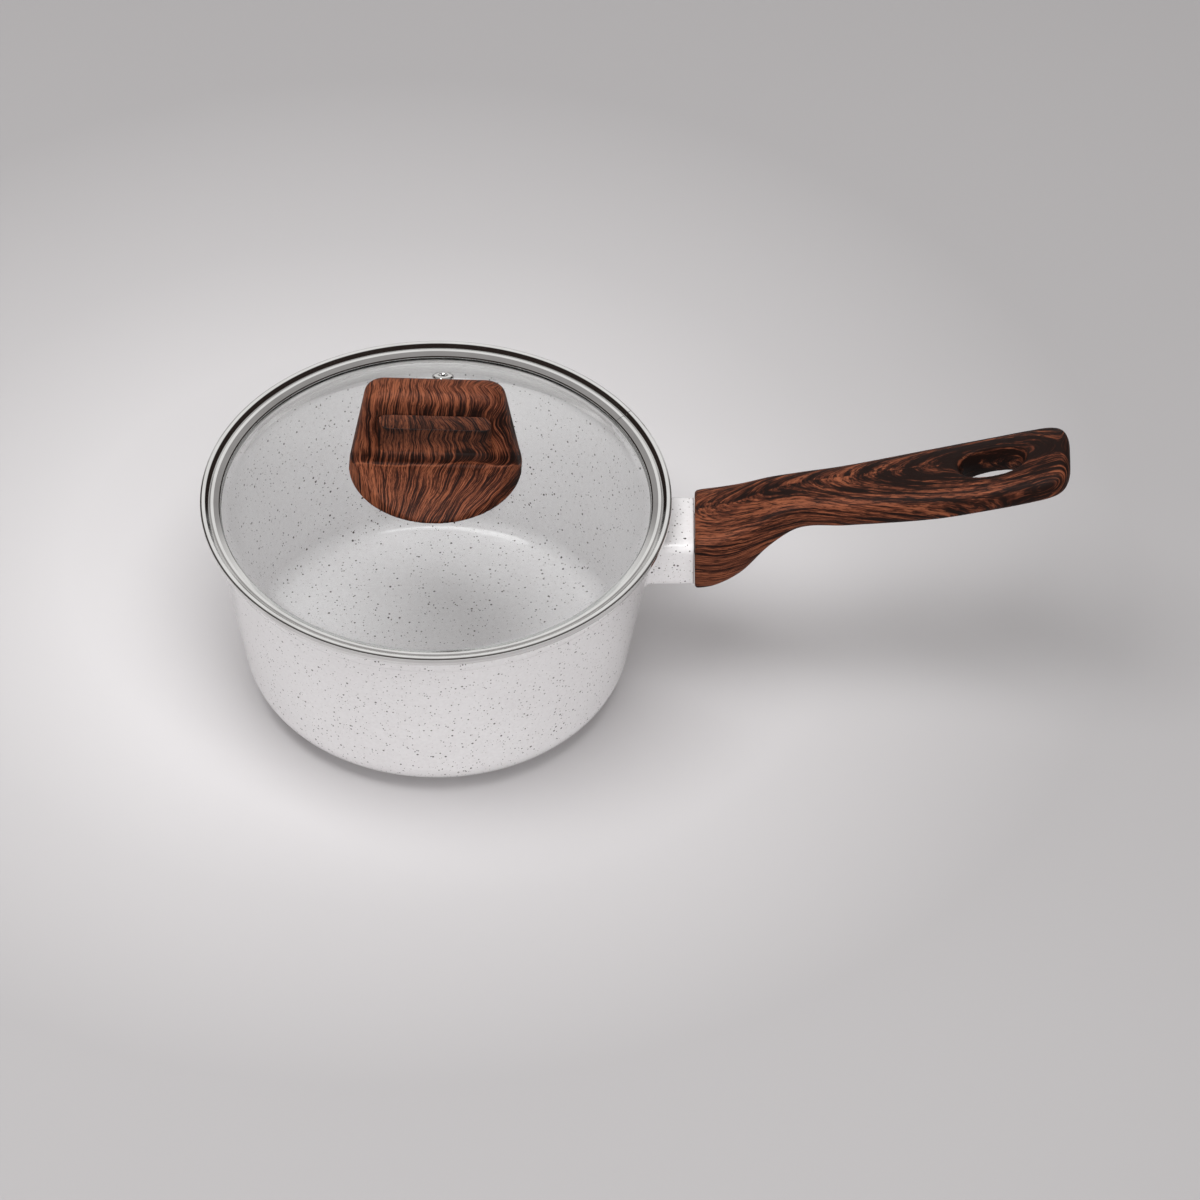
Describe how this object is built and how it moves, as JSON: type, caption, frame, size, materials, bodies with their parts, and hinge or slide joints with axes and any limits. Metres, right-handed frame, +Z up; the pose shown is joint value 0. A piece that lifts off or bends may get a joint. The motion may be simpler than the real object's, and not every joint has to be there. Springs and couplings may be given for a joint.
{
  "type": "saucepan with glass lid",
  "caption": "Saucepan with a speckled pale non-stick coating, a wood-look long handle with a hang hole, and a domed glass lid with a steel rim, a steam vent and a wood-look loop knob",
  "frame": {"origin": "middle of the flat underside of the base disc, on the surface that the pan stands on", "axes": "+Z up, +X from the middle of the pan along the handle, and +Y on the side of the lid where the steam vent is"},
  "size_m": [0.3461, 0.1878, 0.1515],
  "materials": {
    "coating": "satin",
    "steel": "polished",
    "matt_steel": "satin",
    "brass": "satin",
    "bakelite": "satin",
    "silicone": "matte",
    "glass": "polished"
  },
  "bodies": {
    "pan": {"pan_body": "coating", "base_disc": "matt_steel", "handle_bracket": "coating", "handle": "bakelite", "handle_screw": "steel", "handle_lock_washer": "steel"},
    "lid": {"lid_glass": "glass", "lid_rim": "steel", "vent_eyelet": "steel", "vent_collar": "steel", "knob": "bakelite", "knob_insert": "brass", "knob_top_gasket": "silicone", "knob_bottom_gasket": "silicone", "knob_washer": "steel", "knob_spring_washer": "steel", "knob_screw": "steel"}
  },
  "joints": [
    {"name": "lid_lift", "type": "slide", "parent": "pan", "child": "lid", "axis": [0, 0, 1], "range_m": [0, 0.12]}
  ]
}
